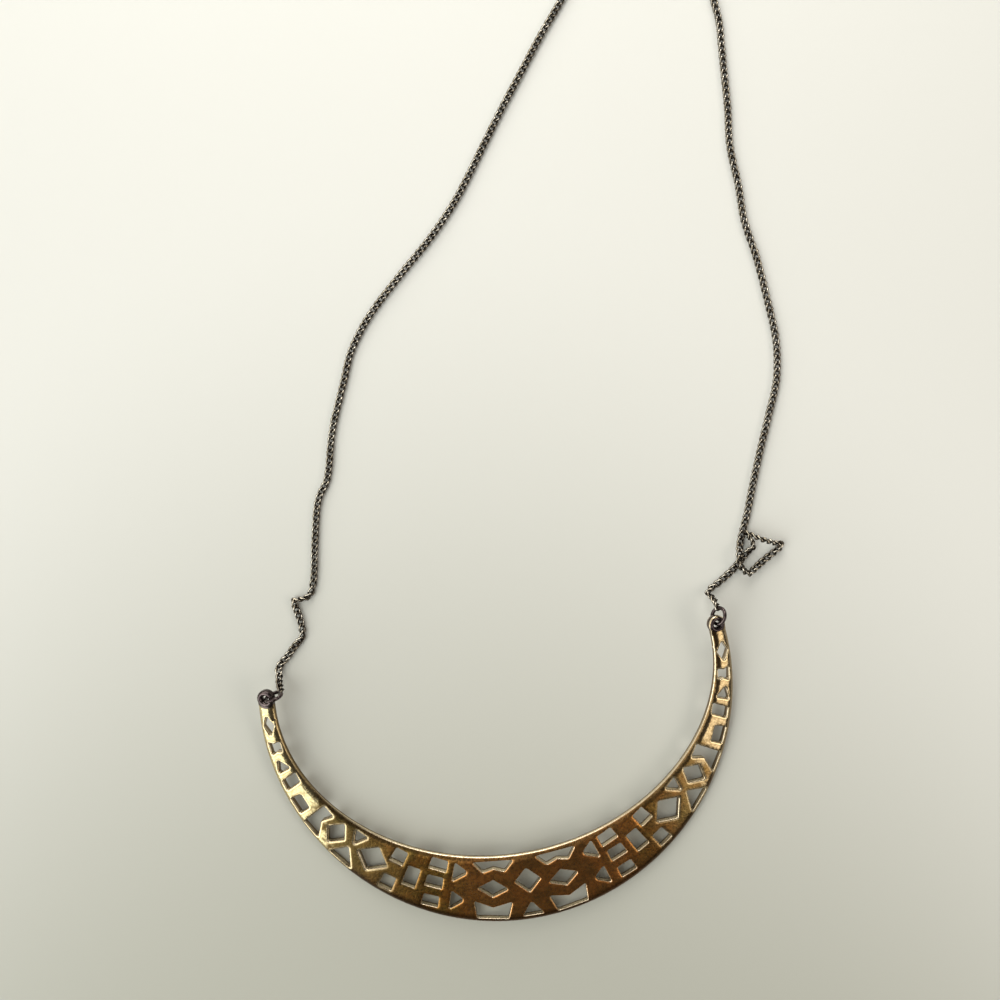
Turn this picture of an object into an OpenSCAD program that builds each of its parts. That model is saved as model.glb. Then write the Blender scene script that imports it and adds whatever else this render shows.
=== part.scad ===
// Crescent pendant necklace, lying on a surface as a closed loop.
// Millimetres, +Z up, the origin on the surface below the middle of the whole loop.

/* [Crescent] */
// Thickness of the crescent's metal
plate_t = 1.9; // [1.6:0.1:2.2]
// Radius that the crescent is bent to, at the middle of its thickness
bend_r = 220; // [200:5:260]
// Slope of the crescent as it lies, with its outer edge down
lie_angle = 10.5; // [9:0.5:12]
// Half width of the outer edge's oval
outer_a = 60.4; // [60.2:0.1:60.8]
// Half height of the outer edge's oval
outer_b = 57.2; // [57:0.1:57.8]
// Centre of the outer edge's oval, below the line of the tips' eyes
outer_drop = 9.5; // [9.3:0.1:9.8]
// Half width of the inner edge's oval
inner_a = 56; // [55.6:0.1:56.2]
// Half height of the inner edge's oval
inner_b = 42.9; // [42.5:0.1:43]
// Centre of the inner edge's oval, below the line of the tips' eyes
inner_drop = 5.75; // [5.5:0.05:5.9]

/* [Eyes and rings] */
// Radius of the round eye at each tip
eye_r = 2.2; // [2.1:0.1:2.4]
// Radius of the hole through each eye
eye_hole_r = 1.3; // [1.2:0.05:1.35]
// Outer diameter of the rings through the eyes
jump_ring_d = 5; // [5:0.1:5.4]
// Wire of the rings through the eyes
jump_ring_wire = 0.9; // [0.8:0.05:1]
// Outer diameter of the rings at the clasp
end_ring_d = 4.6; // [4.6:0.1:4.8]
// Wire of the rings at the clasp
end_ring_wire = 0.8; // [0.7:0.05:0.85]

/* [Chain and clasp] */
// Radius of the round space that the chain's links fill
chain_r = 0.9; // [0.7:0.05:0.95]
// Thickness of the clasp
clasp_t = 1.4; // [1.2:0.1:1.4]
// Length of the clasp
clasp_l = 12; // [12:0.5:13]

/* [Hidden] */

// The crescent's middle line and the line of its eyes, in the frame of the whole loop
crescent_x = -13;
crescent_y = -63;

// Steps along each oval, and the facet count of round walls
oval_steps = 40;
bend_fn = 360;
round_fn = 48;
wire_fn = 24;
tall = 40;

// An oval edge as points over arc length and height: top is where it reaches the eyes' line
function oval_top(b, drop) = asin(drop / b);
function oval_at(a, b, drop, turn) = [a * cos(turn), b * sin(turn) - drop];
function oval_edge(a, b, drop) =
    [for (i = [0 : oval_steps])
        oval_at(a, b, drop, -180 - oval_top(b, drop) + i * (180 + 2 * oval_top(b, drop)) / oval_steps)];
function reversed(list) = [for (i = [len(list) - 1 : -1 : 0]) list[i]];

// Bending: arc length along the face becomes an angle about the bend's axis
function bend_angle(s) = s / bend_r * 180 / PI;
function bent_x(s) = bend_r * sin(bend_angle(s));
function under_z(s, v) =
    v * sin(lie_angle) + (sqrt(pow(bend_r - plate_t / 2, 2) - pow(bent_x(s), 2)) - bend_r) * cos(lie_angle);

outer_edge = oval_edge(outer_a, outer_b, outer_drop);
inner_edge = oval_edge(inner_a, inner_b, inner_drop);

// The height that brings the lowest point of the outer edge down to the surface
lift = -min([for (p = outer_edge) under_z(p[0], p[1])]);

// Arc length from the middle line to each eye, halfway between the two edges
eye_s = (outer_edge[oval_steps][0] + inner_edge[oval_steps][0]) / 2;

// Height of an eye's centre above the surface, and its place across the loop
eye_sag = bend_r * (cos(bend_angle(eye_s)) - 1);
eye_x = bent_x(eye_s);
eye_y = -eye_sag * sin(lie_angle);
eye_z = eye_sag * cos(lie_angle) + lift;

// The pierced pattern of one half, from the middle to the tip.
// Columns: shape, arc length, height, turn, width along the band, height across the band
PIERCED = [
    ["cap", 8, -50.6, 5, 10.3, 2.9],
    ["kite", 9, -56.5, 11, 7.9, 4.7],
    ["boat", 9.9, -62.4, 10, 9.6, 4.7],
    ["dart", 16.3, -51.2, 19, 3.8, 5.4],
    ["dart", 18.4, -58.6, 17, 3.7, 5.3],
    ["bar", 21.4, -48.1, 24, 4.3, 3.1],
    ["bar", 23.3, -52.6, 22, 4.2, 3.1],
    ["bar", 25.2, -57.6, 21, 4.1, 3],
    ["bar", 28.9, -50.6, 29, 3.3, 5.5],
    ["bar", 31, -44.8, 35, 3.4, 3.9],
    ["bar", 35.3, -51.4, 34, 3.4, 3.8],
    ["kite", 37.9, -44.7, 38, 8.5, 7.3],
    ["peak_out", 40.6, -39.2, 42, 3.7, 3.8],
    ["peak_in", 44.9, -42.9, 49, 7.2, 4.5],
    ["kite", 46, -37, 50, 5.3, 7],
    ["chevron", 49.5, -33.7, 58, 5.4, 7.3],
    ["bar", 54, -28.4, 67, 4.2, 3.1],
    ["lean", 55.2, -22.3, 72, 2.7, 4.3],
    ["point", 57, -17.8, 67, 3.2, 3.8],
    ["waist", 57.5, -13, 83, 3.5, 3],
    ["kite", 58.05, -7.1, 89, 5.6, 2.9],
];

// Height, half width and length of the two shapes on the middle line
middle_kite_y = -55.6;
middle_kite_w = 6.6;
middle_kite_h = 6.8;
middle_peak_y = -63.4;
middle_peak_w = 5.4;
middle_peak_h = 3.8;
blunt = 0.5;

// Corners of each pierced shape, as shares of its width and height, with y towards the inner edge
function shape_points(shape) =
    shape == "cap" ? [[-0.5, 0.5], [0.5, 0.5], [0.27, -0.5], [0, -0.2], [-0.27, -0.5]]
  : shape == "kite" ? [[-0.5, 0], [0, 0.5], [0.5, 0], [0, -0.5]]
  : shape == "boat" ? [[-0.5, 0.5], [0, 0.14], [0.5, 0.5], [0.41, -0.5], [-0.41, -0.5]]
  : shape == "dart" ? [[-0.5, 0.1], [0.5, 0.5], [0.5, -0.5]]
  : shape == "bar" ? [[-0.47, 0.5], [0.47, 0.5], [0.53, -0.5], [-0.53, -0.5]]
  : shape == "peak_out" ? [[-0.5, 0.5], [0.5, 0.5], [0.08, -0.5]]
  : shape == "peak_in" ? [[-0.5, -0.5], [0.5, -0.5], [0.07, 0.5]]
  : shape == "chevron" ? [[0.5, 0.5], [0.5, -0.5], [-0.5, -0.5], [0.03, 0.04], [-0.18, 0.5]]
  : shape == "lean" ? [[-0.34, 0.5], [0.66, 0.5], [0.34, -0.5], [-0.66, -0.5]]
  : shape == "point" ? [[-0.5, 0.5], [0.5, 0], [-0.5, -0.5]]
  : [[-0.4, 0.5], [0.4, 0.5], [0.3, 0], [0.5, -0.5], [-0.5, -0.5], [-0.3, 0]];

// Routes of the chain's middle, from the crescent round to the clasp.
// Columns: x, y, height of the chain's underside above the surface
LEFT_ROUTE = [
    [-66.5, -60, 3.9], [-67, -58.5, 1.9], [-67, -57, 0.5], [-67, -55, 0], [-65, -53.5, 0],
    [-62, -50.5, 0], [-59.5, -48.5, 0], [-59.5, -45, 0], [-60.5, -39, 0], [-57.5, -39, 0],
    [-56, -38.5, 0], [-54.5, -34.5, 0], [-52.5, -24.5, 0], [-50, -14.5, 0], [-47, -10, 0],
    [-43.5, 2.5, 0], [-38.5, 14.5, 0], [-35.5, 21.5, 0], [-29.5, 29.5, 0], [-20, 38.5, 0],
    [-11, 46.5, 0], [-3, 55, 0], [5.5, 66.5, 0], [12, 75.5, 0], [18.5, 84, 0],
    [25, 92.5, 0], [32, 101, 0], [37.5, 108.5, 0], [43.5, 116, 0], [49.6, 122.6, 0.5],
];
RIGHT_ROUTE = [
    [45, -57, 4.5], [45, -56, 2.5], [44.5, -55, 1], [44, -54, 0], [48, -52, 0],
    [53, -48.5, 0], [55, -46.5, 0], [58, -44.5, 0], [57.5, -42, 1], [59.5, -43.5, 2],
    [65, -45.5, 0], [59, -49, 0], [55, -51.5, 0.5], [53, -48.5, 2.2], [53.5, -46, 1.6],
    [54.5, -43, 0], [56, -39.5, 0], [57.5, -36, 0], [60.5, -28, 0], [63.5, -20.5, 0], [67.5, -11, 0],
    [70.5, -3.5, 0], [72, 6.5, 0], [71.5, 17, 0], [70.5, 28.5, 0], [69, 38, 0],
    [69, 47, 0], [68.5, 57.5, 0], [69.5, 66.5, 0], [70, 74, 0], [70.5, 82, 0],
    [71, 89.5, 0], [70.5, 95, 0], [70.5, 102, 0], [70, 109, 0], [68.5, 116, 0],
    [64.3, 122.7, 0.5],
];
chain_sides = 8;

// The jump rings: heading from the eye, lean of the ring's top to the right of that heading,
// and rise of the ring's centre about the eye, so that the wire runs along the eye's hole
left_heading = 9;
left_lean = 17;
left_rise = 14;
right_heading = 65;
right_lean = 35;
right_rise = 3;

// The clasp's middle, its eye and its hook, along its length
clasp_x = 57;
clasp_y = 125.5;
clasp_eye_r = 1.9;
clasp_eye_hole_r = 0.95;
clasp_hook_r = 2.7;
clasp_gap_r = 1.6;
clasp_sag = 0.3;
clasp_z = end_ring_d / 2 - clasp_sag;
clasp_eye_at = -clasp_l / 2 + clasp_eye_r;
clasp_hook_at = clasp_l / 2 - clasp_hook_r;

// Where each end ring's wire passes through the clasp, and its heading to the chain
end_ring_offset = 0.7;
end_left_through = [clasp_x + clasp_eye_at, clasp_y];
end_left_heading = 217;
end_right_through = [clasp_x + clasp_hook_at + end_ring_offset, clasp_y];
end_right_heading = -37;

// Helpers for the swept chain
function unit(v) = v / norm(v);
function middle_of(p) = [p[0], p[1], p[2] + chain_r];
function tangent(path, i) =
    i == 0 ? unit(path[1] - path[0])
  : i == len(path) - 1 ? unit(path[i] - path[i - 1])
  : unit(unit(path[i] - path[i - 1]) + unit(path[i + 1] - path[i]));
function ring_at(path, i) =
    let (t = tangent(path, i), side = unit(cross(t, [0, 0, 1])), up = cross(side, t))
    [for (k = [0 : chain_sides - 1])
        let (a = (k + 0.5) * 360 / chain_sides)
        path[i] + chain_r * (cos(a) * side + sin(a) * up)];

module swept_tube(route) {
    path = [for (p = route) middle_of(p)];
    last = len(path) - 1;
    points = [for (i = [0 : last]) each ring_at(path, i)];
    walls = [for (i = [0 : last - 1], k = [0 : chain_sides - 1])
        let (a = i * chain_sides, b = a + chain_sides, n = (k + 1) % chain_sides)
        [a + k, b + k, b + n, a + n]];
    first_cap = [for (k = [0 : chain_sides - 1]) k];
    last_cap = [for (k = [chain_sides - 1 : -1 : 0]) last * chain_sides + k];
    polyhedron(points = points, faces = concat([first_cap], walls, [last_cap]));
}

// Puts its children at an arc length and height on the bent middle surface, z along its normal
module on_bend(s, v) {
    rotate([0, bend_angle(s), 0])
        translate([0, v, bend_r])
            children();
}

// Lays the bent crescent down: slope, height and place in the loop
module laid_down() {
    translate([crescent_x, crescent_y, lift])
        rotate([lie_angle, 0, 0])
            translate([0, 0, -bend_r])
                children();
}

module crescent_outline() {
    polygon([for (p = concat(outer_edge, reversed(inner_edge))) [bent_x(p[0]), p[1]]]);
}

module bent_shell() {
    rotate([90, 0, 0])
        difference() {
            cylinder(h = 4 * tall, r = bend_r + plate_t / 2, center = true, $fn = bend_fn);
            cylinder(h = 5 * tall, r = bend_r - plate_t / 2, center = true, $fn = bend_fn);
        }
}

module pierced_shape(shape, w, h) {
    linear_extrude(height = 4 * plate_t, center = true)
        polygon([for (p = shape_points(shape)) [p[0] * w, p[1] * h]]);
}

module pierced_half() {
    for (row = PIERCED)
        on_bend(row[1], row[2])
            rotate([0, 0, row[3]])
                pierced_shape(row[0], row[4], row[5]);
}

module pierced_middle() {
    on_bend(0, middle_kite_y)
        linear_extrude(height = 4 * plate_t, center = true)
            polygon([[-middle_kite_w / 2, 0], [-blunt, middle_kite_h / 2], [blunt, middle_kite_h / 2],
                     [middle_kite_w / 2, 0], [0, -middle_kite_h / 2]]);
    on_bend(0, middle_peak_y)
        linear_extrude(height = 4 * plate_t, center = true)
            polygon([[-middle_peak_w / 2, -middle_peak_h / 2], [-blunt, middle_peak_h / 2],
                     [blunt, middle_peak_h / 2], [middle_peak_w / 2, -middle_peak_h / 2]]);
}

module eye_hole(s) {
    on_bend(s, 0) {
        cylinder(h = 4 * plate_t, r = eye_hole_r, center = true, $fn = round_fn);
        translate([0, 0, plate_t / 2 - 0.3])
            cylinder(h = 0.6, r1 = eye_hole_r, r2 = eye_hole_r + 0.6, $fn = round_fn);
    }
}

module crescent_plate() {
    color("saddlebrown")
        laid_down()
            difference() {
                intersection() {
                    bent_shell();
                    union() {
                        translate([0, 0, bend_r - tall / 2])
                            linear_extrude(height = tall)
                                crescent_outline();
                        for (side = [-1, 1])
                            on_bend(side * eye_s, 0)
                                cylinder(h = 4 * plate_t, r = eye_r, center = true, $fn = round_fn);
                    }
                }
                pierced_half();
                mirror([1, 0, 0])
                    pierced_half();
                pierced_middle();
                for (side = [-1, 1])
                    eye_hole(side * eye_s);
            }
}

// A round ring standing on edge, its wire through the point at [x, y, z]
module standing_ring(x, y, z, d, wire, heading, lean, rise) {
    r = (d - wire) / 2;
    translate([x, y, z])
        rotate([90 + lean, 0, heading])
            rotate([0, 0, rise])
                translate([r, 0, 0])
                    rotate_extrude($fn = round_fn)
                        translate([r, 0])
                            circle(d = wire, $fn = wire_fn);
}

module jump_ring_left() {
    color("dimgray")
        standing_ring(crescent_x - eye_x, crescent_y + eye_y, eye_z,
                      jump_ring_d, jump_ring_wire, left_heading, left_lean, left_rise);
}

module jump_ring_right() {
    color("dimgray")
        standing_ring(crescent_x + eye_x, crescent_y + eye_y, eye_z,
                      jump_ring_d, jump_ring_wire, right_heading, right_lean, right_rise);
}

module chain_left() {
    color("darkslategray")
        swept_tube(LEFT_ROUTE);
}

module chain_right() {
    color("darkslategray")
        swept_tube(RIGHT_ROUTE);
}

module end_ring_left() {
    color("dimgray")
        standing_ring(end_left_through[0], end_left_through[1], end_ring_d / 2,
                      end_ring_d, end_ring_wire, end_left_heading, 0, 0);
}

module end_ring_right() {
    color("dimgray")
        standing_ring(end_right_through[0], end_right_through[1], end_ring_d / 2,
                      end_ring_d, end_ring_wire, end_right_heading, 0, 0);
}

// Flat clasp: a small eye, a waist and a closed hook with a round opening
module clasp() {
    color("dimgray")
        translate([clasp_x, clasp_y, clasp_z])
            difference() {
                union() {
                    translate([clasp_eye_at, 0, 0])
                        cylinder(h = clasp_t, r = clasp_eye_r, center = true, $fn = round_fn);
                    translate([clasp_hook_at, 0, 0])
                        cylinder(h = clasp_t, r = clasp_hook_r, center = true, $fn = round_fn);
                    linear_extrude(height = clasp_t, center = true)
                        polygon([[clasp_eye_at, -clasp_eye_r * 0.8], [clasp_hook_at, -clasp_hook_r * 0.95],
                                 [clasp_hook_at, clasp_hook_r * 0.95], [clasp_eye_at, clasp_eye_r * 0.8]]);
                }
                translate([clasp_eye_at, 0, 0])
                    cylinder(h = 2 * clasp_t, r = clasp_eye_hole_r, center = true, $fn = round_fn);
                translate([clasp_hook_at, 0, 0])
                    cylinder(h = 2 * clasp_t, r = clasp_gap_r, center = true, $fn = round_fn);
            }
}

crescent_plate();
jump_ring_left();
jump_ring_right();
chain_left();
chain_right();
end_ring_left();
end_ring_right();
clasp();
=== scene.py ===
import math
import random

import bmesh
import bpy
from mathutils import Matrix, Vector
from mathutils.geometry import interpolate_bezier
from mathutils.kdtree import KDTree


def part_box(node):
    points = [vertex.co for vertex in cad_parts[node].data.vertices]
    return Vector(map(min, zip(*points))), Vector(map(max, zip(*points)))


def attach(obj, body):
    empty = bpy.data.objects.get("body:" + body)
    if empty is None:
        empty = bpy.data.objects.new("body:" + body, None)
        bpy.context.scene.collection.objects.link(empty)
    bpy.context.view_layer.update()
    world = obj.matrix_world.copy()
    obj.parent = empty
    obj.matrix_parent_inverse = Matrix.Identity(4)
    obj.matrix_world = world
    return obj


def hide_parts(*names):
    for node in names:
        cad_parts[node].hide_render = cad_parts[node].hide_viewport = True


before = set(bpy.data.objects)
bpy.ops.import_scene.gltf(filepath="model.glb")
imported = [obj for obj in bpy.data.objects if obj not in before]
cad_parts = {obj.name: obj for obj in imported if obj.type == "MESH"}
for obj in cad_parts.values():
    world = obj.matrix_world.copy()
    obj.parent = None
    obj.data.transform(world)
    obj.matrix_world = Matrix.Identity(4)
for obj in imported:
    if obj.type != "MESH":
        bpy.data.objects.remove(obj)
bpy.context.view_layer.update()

MM = 0.001
MERGE_DIST = 0.001 * MM
QUARTER_TURN = math.radians(90)

# Crescent: metal thickness, bend, slope as it lies, and the place of its middle line
PLATE_T = 1.9 * MM
BEND_R = 220 * MM
LIE_ANGLE = math.radians(10.5)
CRESCENT_X = -13 * MM
CRESCENT_Y = -63 * MM

# Rounding of the rims, and the spacing of the cuts that let the flat plate bend and roll
RIM = 0.31 * MM
RIM_STEPS = 2
SLICE = 0.5 * MM
SLICES_ABOVE_EYES = 4

# How far and how deep the face rolls down towards the crescent's edges and towards the holes.
# The roll round a tip starts this far from the eye's middle, and leaves this share of the height.
EDGE_ROLL = (1.7 * MM, 0.68 * MM)
HOLE_ROLL = (0.35 * MM, 0.03 * MM)
TIP_ROLL_R = 3 * MM
LEAST_HEIGHT = 0.15

# Ovals of the two edges: half width, half height, drop of the centre below the eyes' line
OUTER_OVAL = (60.4 * MM, 57.2 * MM, 9.5 * MM)
INNER_OVAL = (56 * MM, 42.9 * MM, 5.75 * MM)
OVAL_STEPS = 90
OVAL_STEPS_PAST_EYES = 8

# Eyes at the tips
EYE_R = 2.2 * MM
EYE_HOLE_R = 1.3 * MM
EYE_ARC = (-15, 214)
EYE_TRIM = (0.6 * MM, 1.3 * MM)
EYE_STEPS = 24

# Dark collars round the eyes: how much wider and thicker than the eye's metal, and how far past it
COLLAR_WIDER = 0.27 * MM
COLLAR_THICKER = 0.1 * MM
COLLAR_PAST_EYE = 0.05 * MM
COLLAR_SIDES = 20
COLLAR_STEPS = 40

# Rings: outer diameter, wire, and the fine seam where the ends of the wire meet
JUMP_RING = (5 * MM, 0.9 * MM)
END_RING = (4.6 * MM, 0.8 * MM)
RING_SEAM = math.radians(2.5)
RING_SEAM_AT = math.radians(40)
RING_SIDES = 14
RING_STEPS = 48

# Chain links: pitch, wire, outer width, twist from end to end, and the play at each end of a link
LINK_PITCH = 1.69 * MM
LINK_WIRE = 0.6 * MM
LINK_W = 2.0 * MM
LINK_TWIST = math.radians(112)
LINK_PLAY = 0.05 * MM
LINK_SIDES = 6
LINK_END_STEPS = 5
LINK_MERGE_DIST = 0.01 * MM

# A strand: height of its middle over the table, reach into each ring, uneven roll of its links in
# degrees, and points on each stretch of its route. A rolled link rises to rest on its lowest side,
# by degrees over a short length from each ring.
CHAIN_HALF_H = 0.62 * MM
CHAIN_IN_RING = 0.45 * MM
UNEVEN_ROLL = 6
RISE_LENGTH = 4 * MM
ROUTE_STEPS = 11

# Pierced pattern of one half, from the middle to the tip, in millimetres:
# shape, arc length, height, turn in degrees, width along the band, height across the band
PIERCED = [
    ("cap", 8, -50.6, 5, 10.3, 2.9),
    ("kite", 9, -56.5, 11, 7.9, 4.7),
    ("boat", 9.9, -62.4, 10, 9.6, 4.7),
    ("dart", 16.3, -51.2, 19, 3.8, 5.4),
    ("dart", 18.4, -58.6, 17, 3.7, 5.3),
    ("bar", 21.4, -48.1, 24, 4.3, 3.1),
    ("bar", 23.3, -52.6, 22, 4.2, 3.1),
    ("bar", 25.2, -57.6, 21, 4.1, 3),
    ("bar", 28.9, -50.6, 29, 3.3, 5.5),
    ("bar", 31, -44.8, 35, 3.4, 3.9),
    ("bar", 35.3, -51.4, 34, 3.4, 3.8),
    ("kite", 37.9, -44.7, 38, 8.5, 7.3),
    ("peak_out", 40.6, -39.2, 42, 3.7, 3.8),
    ("peak_in", 44.9, -42.9, 49, 7.2, 4.5),
    ("kite", 46, -37, 50, 5.3, 7),
    ("chevron", 49.5, -33.7, 58, 5.4, 7.3),
    ("bar", 54, -28.4, 67, 4.2, 3.1),
    ("lean", 55.2, -22.3, 72, 2.7, 4.3),
    ("point", 57, -17.8, 67, 3.2, 3.8),
    ("waist", 57.5, -13, 83, 3.5, 3),
    ("kite", 58.05, -7.1, 89, 5.6, 2.9),
]
MIDDLE = [
    ("middle_kite", 0, -55.6, 0, 6.6, 6.8),
    ("middle_peak", 0, -63.4, 0, 5.4, 3.8),
]

# Corners of each shape as shares of its width and height, each with its own rounding in millimetres
SHAPES = {
    "cap": [(-0.5, 0.5, 0.3), (0.5, 0.5, 0.3), (0.27, -0.5, 0.5), (0, -0.2, 0.6),
            (-0.27, -0.5, 0.5)],
    "kite": [(-0.5, 0, 0.4), (0, 0.5, 0.4), (0.5, 0, 0.4), (0, -0.5, 0.4)],
    "boat": [(-0.5, 0.5, 0.3), (0, 0.14, 0.6), (0.5, 0.5, 0.3), (0.41, -0.5, 0.4),
             (-0.41, -0.5, 0.4)],
    "dart": [(-0.5, 0.1, 0.9), (0.5, 0.5, 0.35), (0.5, -0.5, 0.35)],
    "bar": [(-0.47, 0.5, 0.35), (0.47, 0.5, 0.35), (0.53, -0.5, 0.35), (-0.53, -0.5, 0.35)],
    "peak_out": [(-0.5, 0.5, 0.3), (0.5, 0.5, 0.3), (0.08, -0.5, 0.35)],
    "peak_in": [(-0.5, -0.5, 0.3), (0.5, -0.5, 0.3), (0.07, 0.5, 0.35)],
    "chevron": [(0.5, 0.5, 0.4), (0.5, -0.5, 0.4), (-0.5, -0.5, 0.3), (0.03, 0.04, 0.6),
                (-0.18, 0.5, 0.4)],
    "lean": [(-0.34, 0.5, 0.35), (0.66, 0.5, 0.35), (0.34, -0.5, 0.35), (-0.66, -0.5, 0.35)],
    "point": [(-0.5, 0.5, 0.35), (0.5, 0, 0.4), (-0.5, -0.5, 0.35)],
    "waist": [(-0.4, 0.5, 0.35), (0.4, 0.5, 0.35), (0.3, 0, 0.5), (0.5, -0.5, 0.3),
              (-0.5, -0.5, 0.3), (-0.3, 0, 0.5)],
    "middle_kite": [(-0.5, 0, 0.4), (0, 0.5, 0.5), (0.5, 0, 0.4), (0, -0.5, 0.4)],
    "middle_peak": [(-0.5, -0.5, 0.3), (0, 0.5, 0.5), (0.5, -0.5, 0.3)],
}

# Rounding of a corner: how far the handles pull into it and lead out of it, and the largest share
# of a side that it takes
CORNER_PULL = 0.55
CORNER_LEAD = 0.3
CORNER_SHARE = 0.45
CORNER_STEPS = 4

# Routes of the chain, the same points as the solids' route: x, y and height of the underside, in
# millimetres
LEFT_ROUTE = [
    (-66.5, -60, 3.9), (-67, -58.5, 1.9), (-67, -57, 0.5), (-67, -55, 0), (-65, -53.5, 0),
    (-62, -50.5, 0), (-59.5, -48.5, 0), (-59.5, -45, 0), (-60.5, -39, 0), (-57.5, -39, 0),
    (-56, -38.5, 0), (-54.5, -34.5, 0), (-52.5, -24.5, 0), (-50, -14.5, 0), (-47, -10, 0),
    (-43.5, 2.5, 0), (-38.5, 14.5, 0), (-35.5, 21.5, 0), (-29.5, 29.5, 0), (-20, 38.5, 0),
    (-11, 46.5, 0), (-3, 55, 0), (5.5, 66.5, 0), (12, 75.5, 0), (18.5, 84, 0),
    (25, 92.5, 0), (32, 101, 0), (37.5, 108.5, 0), (43.5, 116, 0), (49.6, 122.6, 0.5),
]
RIGHT_ROUTE = [
    (45, -57, 4.5), (45, -56, 2.5), (44.5, -55, 1), (44, -54, 0), (48, -52, 0),
    (53, -48.5, 0), (55, -46.5, 0), (58, -44.5, 0), (55.9, -40.6, 1.4), (59.3, -42.9, 1.6),
    (65, -45.5, 0), (59, -49, 0), (55, -51.5, 0.5), (53, -48.5, 2.2), (53.5, -46, 1.6),
    (54.5, -43, 0), (56, -39.5, 0), (57.5, -36, 0), (60.5, -28, 0), (63.5, -20.5, 0),
    (67.5, -11, 0), (70.5, -3.5, 0), (72, 6.5, 0), (71.5, 17, 0), (70.5, 28.5, 0),
    (69, 38, 0), (69, 47, 0), (68.5, 57.5, 0), (69.5, 66.5, 0), (70, 74, 0),
    (70.5, 82, 0), (71, 89.5, 0), (70.5, 95, 0), (70.5, 102, 0), (70, 109, 0),
    (68.5, 116, 0), (64.3, 122.7, 0.5),
]

# Route points where the chain bends sharply, and the roll of the links at some points, in degrees
LEFT_KINKS = {6, 8, 10}
RIGHT_KINKS = {3, 7, 8, 10, 12}
LEFT_ROLL = {5: 0, 6: 70, 7: 0, 8: 60, 9: 80, 10: 60, 11: 0}
RIGHT_ROLL = {0: 60, 3: 60, 4: 0, 6: 0, 7: 70, 8: 90, 9: 90, 10: 70, 11: 25, 12: 60, 13: 50,
              14: 0}

# Headings, leans and rises of the rings, in degrees
LEFT_RING = (9, 17, 14)
RIGHT_RING = (65, 35, 3)
END_LEFT_RING = (217, 0, 0)
END_RIGHT_RING = (-37, 0, 0)

# Where the strands' last links hold the rings, in degrees round each ring from its far side
LEFT_HOLD = -45
RIGHT_HOLD = -30
END_HOLD = -20

# Clasp: place, length, thickness, radii of its eye and hook and of their openings, how far it hangs
# below the middle of the end rings, rounding, and the offset of the right end ring in its hook
CLASP_X = 57 * MM
CLASP_Y = 125.5 * MM
CLASP_L = 12 * MM
CLASP_T = 1.4 * MM
CLASP_EYE_R = 1.9 * MM
CLASP_EYE_HOLE_R = 0.95 * MM
CLASP_HOOK_R = 2.7 * MM
CLASP_GAP_R = 1.6 * MM
CLASP_SAG = 0.3 * MM
CLASP_RIM = 0.45 * MM
CLASP_HOOK_STEPS = 24
CLASP_EYE_STEPS = 20
END_RING_OFFSET = 0.7 * MM

# Camera: place over the table, turn about the vertical, focal length as a share of the picture's
# width, sensor in millimetres, and the nearest that it sees
CAMERA_AT = (-4.24 * MM, -22.36 * MM, 256.7 * MM)
CAMERA_TURN = math.radians(-9.42)
FOCAL_SHARE = 1.002
SENSOR = 36
CAMERA_NEAR = 10 * MM

# Table: half its side, and the point that the lamps face
TABLE_HALF = 6
TABLE_MIDDLE = (0, -0.05, 0)

# Painted shade on the table, which follows the fall of the light: from where to where it turns pale
# along the picture's height in metres, how strongly, about which middle and how far at most it
# bows to the sides, and the two colours
TONE_FROM = -0.16
TONE_TO = 0.06
BOW = 3.3
BOW_MIDDLE = -0.02
BOW_LIMIT = 0.1
TABLE_PAINTED_SHADE = (0.5, 0.5, 0.435, 1)
TABLE_PALE = (0.86, 0.855, 0.81, 1)
TABLE_ROUGHNESS = 0.7

# Light of the windows, of the walls, and of the room's own glow
DAYLIGHT = (1, 0.99, 0.95)
WEST_DAYLIGHT = (0.96, 1, 0.98)
WARM_WALL = (1, 0.94, 0.86)
WARMER_WALL = (1, 0.93, 0.84)
ROOM_GLOW = (1, 0.95, 0.85, 1)
LEAST_GLOW = 0.08

# Softboxes: name, heading and height in degrees, distance, width and depth in metres, glow, colour,
# and the point that each faces
LAMPS = [
    ("north window", 88, 14, 0.8, 0.6, 0.22, 6, DAYLIGHT, TABLE_MIDDLE),
    ("north lamp", 90, 60, 0.3, 0.25, 0.15, 4.5, DAYLIGHT, (0.04, 0.22, 0)),
    ("west window", 203, 36, 1.0, 0.8, 0.45, 2.4, WEST_DAYLIGHT, TABLE_MIDDLE),
    ("low west window", 208, 14, 0.9, 0.6, 0.3, 3, WEST_DAYLIGHT, TABLE_MIDDLE),
    ("high west window", 180, 62, 1.2, 0.8, 0.6, 2.2, WEST_DAYLIGHT, TABLE_MIDDLE),
    ("east wall", -8, 42, 1.0, 0.7, 0.5, 0.85, WARM_WALL, TABLE_MIDDLE),
    ("south east wall", -32, 40, 1.0, 0.55, 0.4, 1.9, WARMER_WALL, TABLE_MIDDLE),
]

# Browns of the patina, and of the painted shade along the edges, round the holes and on the walls
RUSTY_BROWN = (0.44, 0.18, 0.035, 1)
DEEP_BROWN = (0.26, 0.13, 0.035, 1)
OLIVE_BROWN = (0.34, 0.22, 0.05, 1)
BRIGHT_RUST = (0.64, 0.26, 0.075, 1)
DEEP_RUST = (0.44, 0.21, 0.07, 1)
OUTER_EDGE_BROWN = (0.06, 0.03, 0.014, 1)
INNER_EDGE_PAINTED_SHADE = (0.22, 0.14, 0.06, 1)
RIGHT_EDGE_PAINTED_SHADE = (0.2, 0.12, 0.05, 1)
HOLE_SHADE = (0.2, 0.125, 0.045, 1)
WALL_PAINTED_SHADE = (0.13, 0.08, 0.035, 1)

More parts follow.
